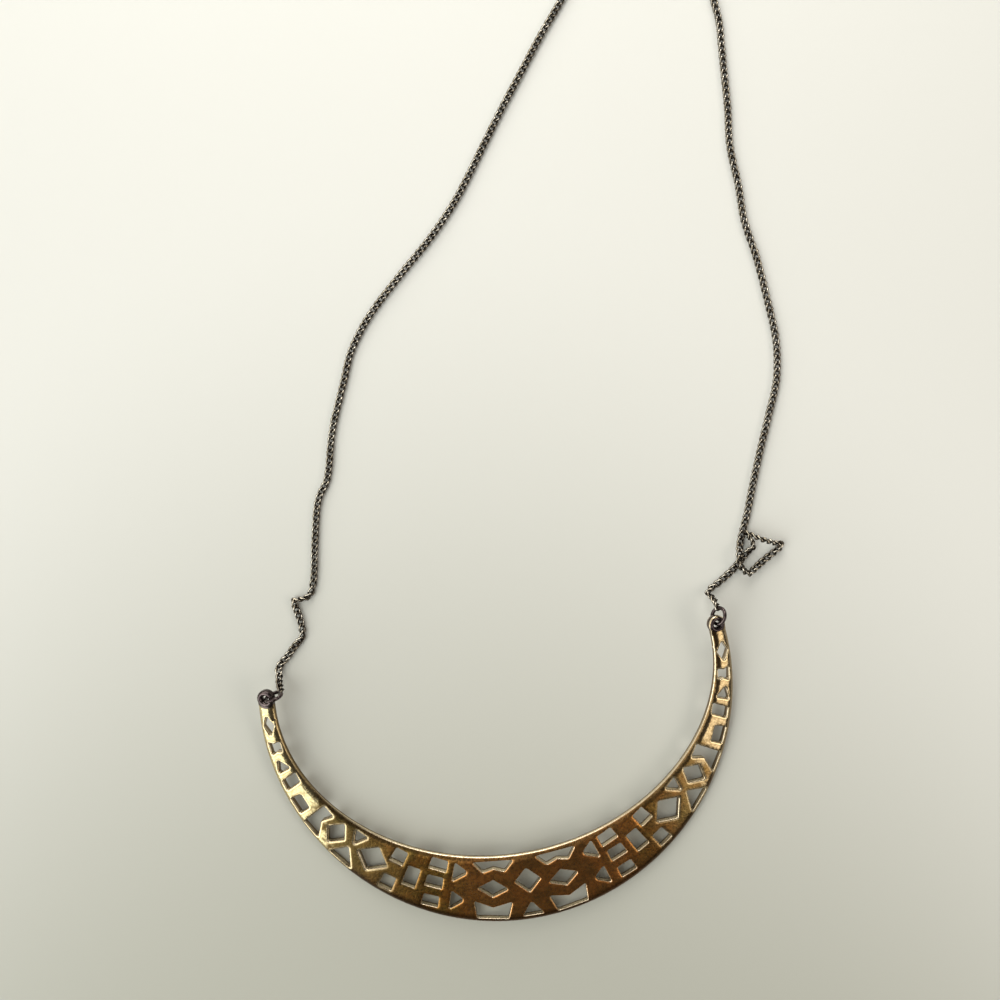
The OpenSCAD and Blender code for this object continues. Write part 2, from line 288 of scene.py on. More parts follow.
# Stretches of the patina that differ: first and last place across the crescent in millimetres,
# share of the colour there, and the colour
BROWN_STRETCHES = [
    (-38, -14, 0.75, 0, (0.11, 0.06, 0.02, 1)),
    (-46, -31, 0.85, 0, (0.085, 0.062, 0.022, 1)),
    (26, 44, 0, 0.6, (0.27, 0.19, 0.08, 1)),
]

# Golds of the rubbed metal, and of the painted shade and painted highlights on edges, strokes, rims
# and walls
PALE_GOLD = (0.65, 0.54, 0.3, 1)
PALE_GOLD_DIM = (0.53, 0.425, 0.215, 1)
TAN_GOLD = (0.6, 0.46, 0.26, 1)
TAN_GOLD_DIM = (0.46, 0.34, 0.175, 1)
TAN_PAINTED_SHADE = (0.24, 0.18, 0.12, 1)
STROKE_HIGHLIGHT_GOLD = (0.8, 0.64, 0.38, 1)
RIM_CREAM_HIGHLIGHT = (0.86, 0.72, 0.52, 1)
WALL_PAINTED_HIGHLIGHT = (0.85, 0.72, 0.5, 1)

# Dark metals: painted shade by the left eye, metal on rings, collars and clasp, and on the links,
# whose bare colours carry a painted highlight
EYE_SHADE = (0.09, 0.07, 0.068, 1)
GUNMETAL_DEEP = (0.06, 0.044, 0.044, 1)
GUNMETAL_RUBBED = (0.14, 0.108, 0.106, 1)
BLACK_OXIDE = (0.03, 0.023, 0.017, 1)
BROWN_OXIDE = (0.07, 0.055, 0.04, 1)
BARE_LINK = (0.8, 0.73, 0.61, 1)
BARE_LINK_DIM = (0.52, 0.45, 0.34, 1)

# Hairline scratches: the turn of each set in radians, and how long its marks are for their spacing
SCRATCH_WAYS = ((0.5, 14), (2.1, 22))

rand = random.Random(7)


def new_object(name, mesh):
    obj = bpy.data.objects.new(name, mesh)
    bpy.context.scene.collection.objects.link(obj)
    return obj


def finish_piece(name, mesh, material, slot, *nodes):
    """Puts a mesh into the scene as a piece that rides on the one body and stands for its nodes."""
    obj = new_object(name, mesh)
    mesh.materials.clear()
    mesh.materials.append(material)
    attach(obj, "root")
    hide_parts(*nodes)
    return obj


# Camera

def place_camera():
    """The photo's view, straight down on the table."""
    data = bpy.data.cameras.new("camera")
    data.sensor_width = SENSOR
    data.lens = SENSOR * FOCAL_SHARE
    data.clip_start = CAMERA_NEAR
    camera = new_object("camera", data)
    camera.location = CAMERA_AT
    camera.rotation_euler = (0, 0, CAMERA_TURN)
    bpy.context.scene.camera = camera


# Flat outlines as splines

def rounded_corner(before, corner, after, radius):
    """Two Bezier points that round one corner: place, handle in, handle out."""
    to_before = (before - corner).normalized()
    to_after = (after - corner).normalized()
    half = to_before.angle(to_after) / 2
    longest = CORNER_SHARE * min((before - corner).length, (after - corner).length)
    reach = min(radius / math.tan(half), longest)
    start = corner + reach * to_before
    end = corner + reach * to_after
    return [(start, start + reach * CORNER_LEAD * to_before, start.lerp(corner, CORNER_PULL)),
            (end, end.lerp(corner, CORNER_PULL), end + reach * CORNER_LEAD * to_after)]


def add_rounded_spline(curve, corners):
    """A closed spline through corners given as (x, y, radius), all in metres."""
    places = [Vector((x, y, 0)) for x, y, r in corners]
    knots = []
    for i, (x, y, radius) in enumerate(corners):
        knots += rounded_corner(places[i - 1], places[i], places[(i + 1) % len(places)], radius)
    spline = curve.splines.new("BEZIER")
    spline.bezier_points.add(len(knots) - 1)
    for point, (place, handle_in, handle_out) in zip(spline.bezier_points, knots):
        point.handle_left_type = point.handle_right_type = "FREE"
        point.co = place
        point.handle_left = handle_in
        point.handle_right = handle_out
    spline.use_cyclic_u = True
    spline.resolution_u = CORNER_STEPS


def add_poly_spline(curve, places):
    """A closed spline with straight stretches through places given as (x, y)."""
    spline = curve.splines.new("POLY")
    spline.points.add(len(places) - 1)
    for point, (x, y) in zip(spline.points, places):
        point.co = (x, y, 0, 1)
    spline.use_cyclic_u = True


def circle_places(x, y, radius, steps, start=0, stop=360):
    """Points on a circle, or on an arc with both its ends."""
    count = steps + (stop - start < 360)
    turns = [math.radians(start + (stop - start) * i / steps) for i in range(count)]
    return [(x + radius * math.cos(t), y + radius * math.sin(t)) for t in turns]


def flat_plate(name, thickness, rim):
    """An empty flat curve that fills its outlines to a plate with rounded rims."""
    curve = bpy.data.curves.new(name, "CURVE")
    curve.dimensions = "2D"
    curve.fill_mode = "BOTH"
    curve.extrude = thickness / 2 - rim
    curve.bevel_depth = rim
    curve.bevel_resolution = RIM_STEPS
    curve.offset = -rim
    return curve


def mesh_from_curve(curve):
    """The curve's mesh as a closed, outward bmesh."""
    holder = new_object(curve.name, curve)
    graph = bpy.context.evaluated_depsgraph_get()
    flat = bpy.data.meshes.new_from_object(holder.evaluated_get(graph))
    bpy.data.objects.remove(holder)
    bpy.data.curves.remove(curve)
    bm = bmesh.new()
    bm.from_mesh(flat)
    bpy.data.meshes.remove(flat)
    bmesh.ops.remove_doubles(bm, verts=bm.verts, dist=MERGE_DIST)
    bmesh.ops.recalc_face_normals(bm, faces=bm.faces)
    return bm


# Crescent

def oval_places(oval, trim):
    """The lower half of an oval and a little more, cut off a trim's length below the eyes' line."""
    a, b, drop = oval
    steps = range(-OVAL_STEPS_PAST_EYES, OVAL_STEPS + OVAL_STEPS_PAST_EYES + 1)
    turns = [math.radians(-180 + 180 * i / OVAL_STEPS) for i in steps]
    places = [(a * math.cos(t), b * math.sin(t) - drop) for t in turns]
    return [p for p in places if p[1] < -trim]


def eye_arc_length():
    """Arc length from the middle line to an eye, halfway between the two edges."""
    reach = [a * math.sqrt(1 - (drop / b) ** 2) for a, b, drop in (OUTER_OVAL, INNER_OVAL)]
    return sum(reach) / 2


def crescent_edge():
    """The whole outline: outer edge, right eye, inner edge and left eye."""
    eye_s = eye_arc_length()
    arc = circle_places(eye_s, 0, EYE_R, EYE_STEPS, *EYE_ARC)
    outer = oval_places(OUTER_OVAL, EYE_TRIM[0])
    inner = oval_places(INNER_OVAL, EYE_TRIM[1])
    left_arc = [(-x, y) for x, y in reversed(arc)]
    return outer + arc + inner[::-1] + left_arc


def pierced_corners(row, side):
    """Corners of one hole on the right half, or mirrored for the left one."""
    shape, s, v, turn, w, h = row
    spin = Matrix.Rotation(math.radians(turn), 2)
    corners = []
    for x, y, radius in SHAPES[shape]:
        place = spin @ Vector((x * w, y * h))
        corners.append((side * (s + place.x) * MM, (v + place.y) * MM, radius * MM))
    return corners[::side]


def bend_and_lay(place):
    """Takes a point of the flat crescent to its place on the table."""
    turn = place.x / BEND_R
    r = BEND_R + place.z
    bent = Vector((r * math.sin(turn), place.y, r * math.cos(turn) - BEND_R))
    laid = Matrix.Rotation(LIE_ANGLE, 3, "X") @ bent
    return laid + Vector((CRESCENT_X, CRESCENT_Y, 0))


def cut_in_slices(bm, first, stop, normal):
    """Cuts the plate across, so that it has enough points to bend."""
    for i in range(first, stop):
        bmesh.ops.bisect_plane(bm, geom=bm.verts[:] + bm.edges[:] + bm.faces[:],
                               plane_co=(i + 0.5) * SLICE * normal, plane_no=normal)


def crescent_bmesh():
    """The flat crescent with all its holes, cut in slices both ways."""
    curve = flat_plate("crescent", PLATE_T, RIM)
    add_poly_spline(curve, crescent_edge())
    eye_s = eye_arc_length()
    for side in (-1, 1):
        add_poly_spline(curve, circle_places(side * eye_s, 0, EYE_HOLE_R, EYE_STEPS))
        for row in PIERCED:
            add_rounded_spline(curve, pierced_corners(row, side))
    for row in MIDDLE:
        add_rounded_spline(curve, pierced_corners(row, 1))
    bm = mesh_from_curve(curve)
    reach = math.ceil(OUTER_OVAL[0] / SLICE)
    cut_in_slices(bm, -reach, reach + 1, Vector((1, 0, 0)))
    depth = math.ceil((OUTER_OVAL[1] + OUTER_OVAL[2]) / SLICE)
    cut_in_slices(bm, -depth, SLICES_ABOVE_EYES, Vector((0, 1, 0)))
    return bm


def oval_gap(place, oval):
    """Distance from an oval edge over the flat crescent, positive outside the oval."""
    a, b, drop = oval
    x = place.x / a
    y = (place.y + drop) / b
    reach = math.hypot(x, y)
    return (reach - 1) * reach / max(math.hypot(x / a, y / b), 1)


def roll_down(distance, roll):
    """How deep a face lies at a distance from an edge that it rolls down to."""
    width, depth = roll
    return depth * max(1 - max(distance, 0) / width, 0) ** 2


def hole_edges(bm):
    """A tree of the points on the holes' walls, which stand well inside the two edges."""
    wall_top = PLATE_T / 2 - 0.98 * RIM
    inside = 0.3 * MM
    walls = [v.co.copy() for v in bm.verts if abs(v.co.z) < wall_top
             and oval_gap(v.co, INNER_OVAL) > inside and oval_gap(v.co, OUTER_OVAL) < -inside]
    tree = KDTree(len(walls))
    for i, place in enumerate(walls):
        tree.insert((place.x, place.y, 0), i)
    tree.balance()
    return tree


def dome_the_face(bm):
    """Rolls the upper face down towards the edges and a little towards each hole.

    The distance from the nearest hole is kept for the material, in millimetres.
    """
    walls = hole_edges(bm)
    eye_s = eye_arc_length()
    hole_gap = bm.verts.layers.float.new("hole_gap")
    for v in bm.verts:
        to_hole = walls.find((v.co.x, v.co.y, 0))[2]
        v[hole_gap] = to_hole / MM
        if v.co.z <= 0:
            continue
        gap = min(oval_gap(v.co, INNER_OVAL), -oval_gap(v.co, OUTER_OVAL))
        tip = math.hypot(abs(v.co.x) - eye_s, v.co.y)
        gap = max(gap, TIP_ROLL_R - tip)
        down = roll_down(gap, EDGE_ROLL)
        down += roll_down(to_hole - RIM, HOLE_ROLL)
        v.co.z *= max(1 - down / (PLATE_T / 2), LEAST_HEIGHT)


def lift_of(bm):
    """The height that puts the lowest point of the laid crescent on the table."""
    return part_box("crescent_plate")[0].z - min(v.co.z for v in bm.verts)


def keep_flat_coordinates(bm):
    """Keeps the flat place in millimetres as a UV map, and the level in the thickness, -1 to 1."""
    flat = bm.loops.layers.uv.new("flat")
    level = bm.verts.layers.float.new("level")
    for v in bm.verts:
        v[level] = v.co.z / (PLATE_T / 2)
    for face in bm.faces:
        for loop in face.loops:
            loop[flat].uv = (loop.vert.co.x / MM, loop.vert.co.y / MM)


def keep_directions(bm, name, axis):
    """Keeps how far each point's surface faces along one axis, for the material to read."""
    bm.normal_update()
    facing = bm.verts.layers.float.new(name)
    for v in bm.verts:
        v[facing] = v.normal[axis]


def crescent_mesh():
    """The crescent as it lies, and the height that it was lifted by."""
    bm = crescent_bmesh()
    keep_flat_coordinates(bm)
    dome_the_face(bm)
    for v in bm.verts:
        v.co = bend_and_lay(v.co)
    lift = lift_of(bm)
    bmesh.ops.translate(bm, verts=bm.verts, vec=(0, 0, lift))
    keep_directions(bm, "northward", 1)
    mesh = bpy.data.meshes.new("crescent")
    bm.to_mesh(mesh)
    bm.free()
    mesh.shade_smooth()
    return mesh, lift


def weigh_normals(obj):
    """Shades large flat faces flat, up to their rounded rims."""
    weigh = obj.modifiers.new("face weighted shading", "WEIGHTED_NORMAL")
    weigh.mode = "FACE_AREA"
    weigh.weight = 80


# Eyes

def eye_collar_mesh(name, side, lift):
    """The dark rounded collar round an eye: an oval section spun about the eye's axis."""
    half_w = (EYE_R - EYE_HOLE_R) / 2 + COLLAR_WIDER
    half_h = PLATE_T / 2 + COLLAR_THICKER
    middle = EYE_R + COLLAR_PAST_EYE - half_w
    bm = bmesh.new()
    bmesh.ops.create_circle(bm, cap_ends=False, radius=1, segments=COLLAR_SIDES,
                            matrix=Matrix.Rotation(QUARTER_TURN, 4, "X"))
    bmesh.ops.scale(bm, verts=bm.verts, vec=(half_w, 1, half_h))
    bmesh.ops.translate(bm, verts=bm.verts, vec=(middle, 0, 0))
    bmesh.ops.spin(bm, geom=bm.edges[:], cent=(0, 0, 0), axis=(0, 0, 1), angle=2 * math.pi,
                   steps=COLLAR_STEPS, use_merge=True)
    bmesh.ops.remove_doubles(bm, verts=bm.verts, dist=MERGE_DIST)
    bmesh.ops.recalc_face_normals(bm, faces=bm.faces)
    turn = side * eye_arc_length() / BEND_R
    place = (Matrix.Translation(eye_place(side, lift)) @ Matrix.Rotation(LIE_ANGLE, 4, "X")
             @ Matrix.Rotation(turn, 4, "Y"))
    bmesh.ops.transform(bm, matrix=place, verts=bm.verts)
    mesh = bpy.data.meshes.new(name)
    bm.to_mesh(mesh)
    bm.free()
    mesh.shade_smooth()
    return mesh


def eye_place(side, lift):
    """The middle of an eye as the crescent lies."""
    return bend_and_lay(Vector((side * eye_arc_length(), 0, 0))) + Vector((0, 0, lift))


# Rings

def ring_frame(through, size, pose):
    """Where a standing ring lies: its wire passes through the given point."""
    diameter, wire = size
    heading, lean, rise = pose
    r = (diameter - wire) / 2
    return (Matrix.Translation(through)
            @ Matrix.Rotation(math.radians(heading), 4, "Z")
            @ Matrix.Rotation(math.radians(90 + lean), 4, "X")
            @ Matrix.Rotation(math.radians(rise), 4, "Z")
            @ Matrix.Translation((r, 0, 0)))


def ring_point(through, size, pose, turn):
    """A point on the middle of a ring's wire, by its turn from the far side."""
    r = (size[0] - size[1]) / 2
    t = math.radians(turn)
    return ring_frame(through, size, pose) @ Vector((r * math.cos(t), r * math.sin(t), 0))


def ring_mesh(name, through, size, pose):
    """A bent wire ring whose ends meet in a fine seam on the side of the chain."""
    diameter, wire = size
    r = (diameter - wire) / 2
    bm = bmesh.new()
    across_wire = Matrix.Translation((r, 0, 0)) @ Matrix.Rotation(QUARTER_TURN, 4, "X")
    start = bmesh.ops.create_circle(bm, cap_ends=True, radius=wire / 2, segments=RING_SIDES,
                                    matrix=across_wire)
    bmesh.ops.rotate(bm, verts=start["verts"], cent=(0, 0, 0),
                     matrix=Matrix.Rotation(RING_SEAM / 2, 3, "Z"))
    bmesh.ops.spin(bm, geom=bm.faces[:], cent=(0, 0, 0), axis=(0, 0, 1),
                   angle=2 * math.pi - RING_SEAM, steps=RING_STEPS)
    bmesh.ops.recalc_face_normals(bm, faces=bm.faces)
    bmesh.ops.rotate(bm, verts=bm.verts, cent=(0, 0, 0),
                     matrix=Matrix.Rotation(RING_SEAM_AT, 3, "Z"))
    bmesh.ops.transform(bm, matrix=ring_frame(through, size, pose), verts=bm.verts)
    mesh = bpy.data.meshes.new(name)
    bm.to_mesh(mesh)
    bm.free()
    mesh.shade_smooth()
    return mesh


# Chain

def smooth_route(points, kinks):
    """A dense path through the points, smooth but for the kinks."""
    path = []
    for i in range(len(points) - 1):
        a, b = points[i], points[i + 1]
        third = (b - a).length / 3
        leave = (b - a).normalized()
        arrive = leave.copy()
        if i > 0 and i not in kinks:
            leave = (b - points[i - 1]).normalized()
        if i + 2 < len(points) and i + 1 not in kinks:
            arrive = (points[i + 2] - a).normalized()
        stretch = interpolate_bezier(a, a + third * leave, b - third * arrive, b, ROUTE_STEPS + 1)
        path += stretch[:-1]
    path.append(points[-1])
    return path


def route_lengths(path):
    """The length along the path at each of its points."""
    lengths = [0]
    for a, b in zip(path, path[1:]):
        lengths.append(lengths[-1] + (b - a).length)
    return lengths


def point_along(path, lengths, s):
    """The point at a length along the path, or a little past its ends."""
    i = max(j for j in range(len(lengths) - 1) if lengths[j] <= s or j == 0)
    share = (s - lengths[i]) / (lengths[i + 1] - lengths[i])
    return path[i].lerp(path[i + 1], min(max(share, -1), 2))


def roll_along(rolls, lengths, s):
    """The roll at a length along the path, blended between the route points that name one."""
    last = len(lengths) - 1
    stops = [(lengths[min((i + 1) * ROUTE_STEPS, last)], roll) for i, roll in sorted(rolls.items())]
    if s <= stops[0][0]:
        return stops[0][1]
    for (s0, r0), (s1, r1) in zip(stops, stops[1:]):
        if s <= s1:
            return r0 + (r1 - r0) * (s - s0) / (s1 - s0)
    return stops[-1][1]


def link_bmesh():
    """One curb link: a straight-sided oval of wire, twisted about its length."""
    end_r = (LINK_W - LINK_WIRE) / 2
    half_straight = (LINK_PITCH + LINK_WIRE) / 2 + LINK_PLAY - end_r
    bm = bmesh.new()
    across_wire = (Matrix.Translation((-half_straight, end_r, 0))
                   @ Matrix.Rotation(QUARTER_TURN, 4, "Y"))
    bmesh.ops.create_circle(bm, cap_ends=False, radius=LINK_WIRE / 2, segments=LINK_SIDES,
                            matrix=across_wire)
    around = bm.edges[:]

    def straight(edges, step):
        out = bmesh.ops.extrude_edge_only(bm, edges=edges)["geom"]
        moved = [g for g in out if isinstance(g, bmesh.types.BMVert)]
        bmesh.ops.translate(bm, verts=moved, vec=(step, 0, 0))
        return [g for g in out if isinstance(g, bmesh.types.BMEdge)]

    def half_turn(edges, x):
        out = bmesh.ops.spin(bm, geom=edges, cent=(x, 0, 0), axis=(0, 0, -1), angle=math.pi,
                             steps=LINK_END_STEPS)
        return [g for g in out["geom_last"] if isinstance(g, bmesh.types.BMEdge)]

    around = straight(around, 2 * half_straight)
    around = half_turn(around, half_straight)
    around = straight(around, -2 * half_straight)
    half_turn(around, -half_straight)
    bmesh.ops.remove_doubles(bm, verts=bm.verts, dist=LINK_MERGE_DIST)
    reach = half_straight + end_r
    crown = bm.verts.layers.float.new("crown")
    for v in bm.verts:
        v[crown] = math.hypot(v.co.y, v.co.z) / (LINK_W / 2)
        v.co = Matrix.Rotation(LINK_TWIST / 2 * v.co.x / reach, 3, "X") @ v.co
    bmesh.ops.recalc_face_normals(bm, faces=bm.faces)
    return bm


def link_half_height(shape, roll):
    """Half the height of a link that is rolled about its length."""
    return max(abs(v.co.y * math.sin(roll) + v.co.z * math.cos(roll)) for v in shape.vertices)


def link_place(a, b, roll):
    """Frame of a link that runs from a to b, rolled about its own length."""
    along = (b - a).normalized()
    side = Vector((0, 0, 1)).cross(along).normalized()
    up = along.cross(side)
    turn = Matrix((along, side, up)).transposed().to_4x4()
    return Matrix.Translation((a + b) / 2) @ turn @ Matrix.Rotation(roll, 4, "X")


def chain_mesh(name, points, kinks, rolls, first, last):
    """A strand of curb links from the first ring's wire to the last one's."""
    lifted = [Vector((x * MM, y * MM, z * MM + CHAIN_HALF_H)) for x, y, z in points]
    route = [first] + lifted + [last]
    path = smooth_route(route, {k + 1 for k in kinks})
    lengths = route_lengths(path)
    free = lengths[-1] - 2 * CHAIN_IN_RING
    count = round(free / LINK_PITCH)
    pitch = free / count
    link = link_bmesh()
    link_shape = bpy.data.meshes.new("link")
    link.to_mesh(link_shape)
    link.free()
    bm = bmesh.new()
    for i in range(count + 1):
        s = CHAIN_IN_RING + i * pitch
        roll = roll_along(rolls, lengths, s) + rand.uniform(-UNEVEN_ROLL, UNEVEN_ROLL)
        roll = math.radians(roll)
        from_ring = min(s, lengths[-1] - s) / RISE_LENGTH
        higher = link_half_height(link_shape, roll) - CHAIN_HALF_H
        rise = Vector((0, 0, higher * min(from_ring, 1)))
        a = point_along(path, lengths, s - pitch / 2) + rise
        b = point_along(path, lengths, s + pitch / 2) + rise
        had = len(bm.verts)
        bm.from_mesh(link_shape)
        bm.verts.ensure_lookup_table()
        bmesh.ops.transform(bm, matrix=link_place(a, b, roll), verts=bm.verts[had:])
        sunk = min(v.co.z for v in bm.verts[had:])
        bmesh.ops.translate(bm, verts=bm.verts[had:], vec=(0, 0, max(-sunk, 0)))
    keep_directions(bm, "upward", 2)
    mesh = bpy.data.meshes.new(name)
    bm.to_mesh(mesh)
    bm.free()
    bpy.data.meshes.remove(link_shape)
    mesh.shade_smooth()
    return mesh


# Clasp

def clasp_mesh():
    """A flat plate with a small eye at one end and a closed hook at the other."""
    eye_at = -CLASP_L / 2 + CLASP_EYE_R
    hook_at = CLASP_L / 2 - CLASP_HOOK_R
    lean = math.degrees(math.asin((CLASP_HOOK_R - CLASP_EYE_R) / (hook_at - eye_at)))
    curve = flat_plate("clasp", CLASP_T, CLASP_RIM)
    hook_arc = circle_places(hook_at, 0, CLASP_HOOK_R, CLASP_HOOK_STEPS, -90 - lean, 90 + lean)
    eye_arc = circle_places(eye_at, 0, CLASP_EYE_R, CLASP_EYE_STEPS, 90 + lean, 270 - lean)
    add_poly_spline(curve, hook_arc + eye_arc)
    add_poly_spline(curve, circle_places(eye_at, 0, CLASP_EYE_HOLE_R, CLASP_EYE_STEPS))
    add_poly_spline(curve, circle_places(hook_at, 0, CLASP_GAP_R, CLASP_HOOK_STEPS))
    bm = mesh_from_curve(curve)
    bmesh.ops.translate(bm, verts=bm.verts, vec=(CLASP_X, CLASP_Y, END_RING[0] / 2 - CLASP_SAG))
    mesh = bpy.data.meshes.new("clasp")
    bm.to_mesh(mesh)
    bm.free()
    mesh.shade_smooth()
    return mesh


# Materials

class Nodes:
    """Adds nodes to a tree and links them. A value is a number, a colour or another node's output.

    An input is given by its name with _ for each space, or as i and its number.
    """

    def __init__(self, tree):
        self.tree = tree

    def add(self, kind, settings=None, **values):
        node = self.tree.nodes.new(kind)
        for key, value in (settings or {}).items():
            setattr(node, key, value)
        for key, value in values.items():
            numbered = key[1:].isdigit()
            self.feed(node.inputs[int(key[1:]) if numbered else key.replace("_", " ")], value)
        return node

    def feed(self, socket, value):
        if isinstance(value, bpy.types.NodeSocket):
            self.tree.links.new(value, socket)
        else:
            socket.default_value = value

    def math(self, operation, a, b=0.0):
        return self.add("ShaderNodeMath", {"operation": operation}, i0=a, i1=b).outputs[0]

    def ramp(self, value, low, high, out_low=0.0, out_high=1.0):
        """Goes smoothly from one number to another while the value goes from low to high."""
        node = self.add("ShaderNodeMapRange", {"interpolation_type": "SMOOTHSTEP"}, Value=value,
                        From_Min=low, From_Max=high, To_Min=out_low, To_Max=out_high)
        return node.outputs[0]

    def noise(self, vector, scale, detail=2.0, roughness=0.5):
        return self.add("ShaderNodeTexNoise", Vector=vector, Scale=scale, Detail=detail,
                        Roughness=roughness).outputs[0]

    def blend(self, share, a, b):
        node = self.add("ShaderNodeMix", {"data_type": "RGBA"})
        self.feed(node.inputs[0], share)
        self.feed(node.inputs[6], a)
        self.feed(node.inputs[7], b)
        return node.outputs[2]

    def bump(self, strength, height):
        """A surface roughened by a height in millimetres."""
        return self.add("ShaderNodeBump", Strength=strength, Distance=MM, Height=height).outputs[0]

    def attribute(self, name):
        return self.add("ShaderNodeAttribute", {"attribute_name": name}).outputs["Fac"]

    def group(self, tree, **values):
        node = self.tree.nodes.new("ShaderNodeGroup")
        node.node_tree = tree
        for key, value in values.items():
            self.feed(node.inputs[key.replace("_", " ")], value)
        return node


def new_group(name, inputs, outputs):
    """A shader group with its sockets: inputs are (name, kind, default), outputs (name, kind)."""
    tree = bpy.data.node_groups.new(name, "ShaderNodeTree")
    for socket, kind, default in inputs:
        made = tree.interface.new_socket(socket, in_out="INPUT", socket_type=kind)
        if default is not None:
            made.default_value = default
    for socket, kind in outputs:
        tree.interface.new_socket(socket, in_out="OUTPUT", socket_type=kind)
    given = tree.nodes.new("NodeGroupInput").outputs
    out = tree.nodes.new("NodeGroupOutput").inputs
    return tree, Nodes(tree), given, out


def make_mottling():
    """Cloudy patches of tarnish and a finer speckle, both from 0 to 1."""
    tree, n, given, out = new_group(
        "mottling", [("Place", "NodeSocketVector", None), ("Patch", "NodeSocketFloat", 0.005)],
        [("Clouds", "NodeSocketFloat"), ("Second Clouds", "NodeSocketFloat"),
         ("Speckle", "NodeSocketFloat")])
    scale = n.math("DIVIDE", 1, given["Patch"])
    shifted = n.add("ShaderNodeVectorMath", {"operation": "ADD"}, i0=given["Place"],
                    i1=(0.37, 0.11, 0.23)).outputs[0]
    clouds = n.noise(given["Place"], scale, 4, 0.6)
    second = n.noise(shifted, n.math("MULTIPLY", scale, 0.8), 3, 0.55)
    speckle = n.noise(given["Place"], n.math("MULTIPLY", scale, 6), 3, 0.6)
    n.feed(out["Clouds"], n.ramp(clouds, 0.38, 0.64))
    n.feed(out["Second Clouds"], n.ramp(second, 0.4, 0.64))
    n.feed(out["Speckle"], n.ramp(speckle, 0.35, 0.7))
    return tree


def make_scratches():
    """Fine hairline marks in two crossing directions, as a height from 0 to 1."""
    tree, n, given, out = new_group(
        "hairline scratches",
        [("Place", "NodeSocketVector", None), ("Spacing", "NodeSocketFloat", 0.002)],
        [("Marks", "NodeSocketFloat")])
    marks = []
    for turn, stretch in SCRATCH_WAYS:
        turned = n.add("ShaderNodeMapping", Vector=given["Place"], Rotation=(0, 0, turn),
                       Scale=(1 / stretch, 1, 1)).outputs[0]
        grain = n.noise(turned, n.math("DIVIDE", 1, given["Spacing"]), 2, 0.6)
        marks.append(n.ramp(grain, 0.6, 0.72))
    n.feed(out["Marks"], n.math("MAXIMUM", marks[0], marks[1]))
    return tree


def make_edge_distance():
    """Distance from an oval edge over the flat crescent, in millimetres, positive outside it."""
    tree, n, given, out = new_group(
        "distance from an oval edge",
        [("Flat", "NodeSocketVector", None), ("Half Width", "NodeSocketFloat", 60),
         ("Half Height", "NodeSocketFloat", 57), ("Drop", "NodeSocketFloat", 9)],
        [("Distance", "NodeSocketFloat")])
    flat = n.add("ShaderNodeSeparateXYZ", Vector=given["Flat"]).outputs
    x = n.math("DIVIDE", flat[0], given["Half Width"])
    y = n.math("DIVIDE", n.math("ADD", flat[1], given["Drop"]), given["Half Height"])
    reach = n.math("SQRT", n.math("ADD", n.math("MULTIPLY", x, x), n.math("MULTIPLY", y, y)))
    dx = n.math("DIVIDE", x, given["Half Width"])
    dy = n.math("DIVIDE", y, given["Half Height"])
    slope = n.math("SQRT", n.math("ADD", n.math("MULTIPLY", dx, dx), n.math("MULTIPLY", dy, dy)))
    beyond = n.math("MULTIPLY", n.math("SUBTRACT", reach, 1), reach)
    n.feed(out["Distance"], n.math("DIVIDE", beyond, n.math("MAXIMUM", slope, 0.001)))
    return tree


def new_metal(name):
    """A metal, with the way to add its nodes and its shader's inputs."""
    material = bpy.data.materials.new(name)
    material.use_nodes = True
    into = material.node_tree.nodes["Principled BSDF"].inputs
    into["Metallic"].default_value = 1
    return material, Nodes(material.node_tree), into


def oval_distance(n, flat, oval):
    """The distance from one edge of the crescent, in millimetres, positive outside its oval."""
    a, b, drop = oval
    return n.group(edge_distance, Flat=flat, Half_Width=a / MM, Half_Height=b / MM,
                   Drop=drop / MM).outputs[0]


def brown_patina(n, spots, across, outer_gap):
    """Rusty in the middle, darker and more olive on the left, nearly black by the outer edge."""
    brown = n.blend(spots["Clouds"], RUSTY_BROWN, DEEP_BROWN)
    brown = n.blend(n.math("MULTIPLY", spots["Second Clouds"], 0.75), brown, OLIVE_BROWN)
    middle = n.math("MULTIPLY", n.ramp(across, -24, -12), n.ramp(across, 24, 34, 0.8, 0))
    brown = n.blend(middle, brown, n.blend(spots["Clouds"], BRIGHT_RUST, DEEP_RUST))
    for first, last, share_at_first, share_at_last, colour in BROWN_STRETCHES:
        brown = n.blend(n.ramp(across, first, last, share_at_first, share_at_last), brown, colour)
    return n.blend(n.ramp(outer_gap, 0.4, 2.8, 0.9, 0), brown, OUTER_EDGE_BROWN)


def rubbed_gold(n, spots, across, outer_gap):
    """Pale on the left arm, and tan on the right one, with a strip of painted shade along its outer
    edge.
    """
    pale = n.blend(spots["Speckle"], PALE_GOLD, PALE_GOLD_DIM)
    tan = n.blend(spots["Speckle"], TAN_GOLD, TAN_GOLD_DIM)
    # Painted shade along the right arm's rolled outer edge
    tan = n.blend(n.ramp(outer_gap, 0.5, 1.6, 0.75, 0), tan, TAN_PAINTED_SHADE)
    return n.blend(n.ramp(across, -20, 20), pale, tan)


def wall_colour(n, level):
    """Walls of the holes in painted shade, with a painted highlight where they face north."""
    to_north = n.ramp(n.attribute("northward"), 0.3, 0.8)
    # Painted highlight on the walls that face north, painted shade elsewhere
    rubbed = n.math("MULTIPLY", to_north, n.ramp(level, -0.4, -0.1))
    return n.blend(rubbed, WALL_PAINTED_SHADE, WALL_PAINTED_HIGHLIGHT)


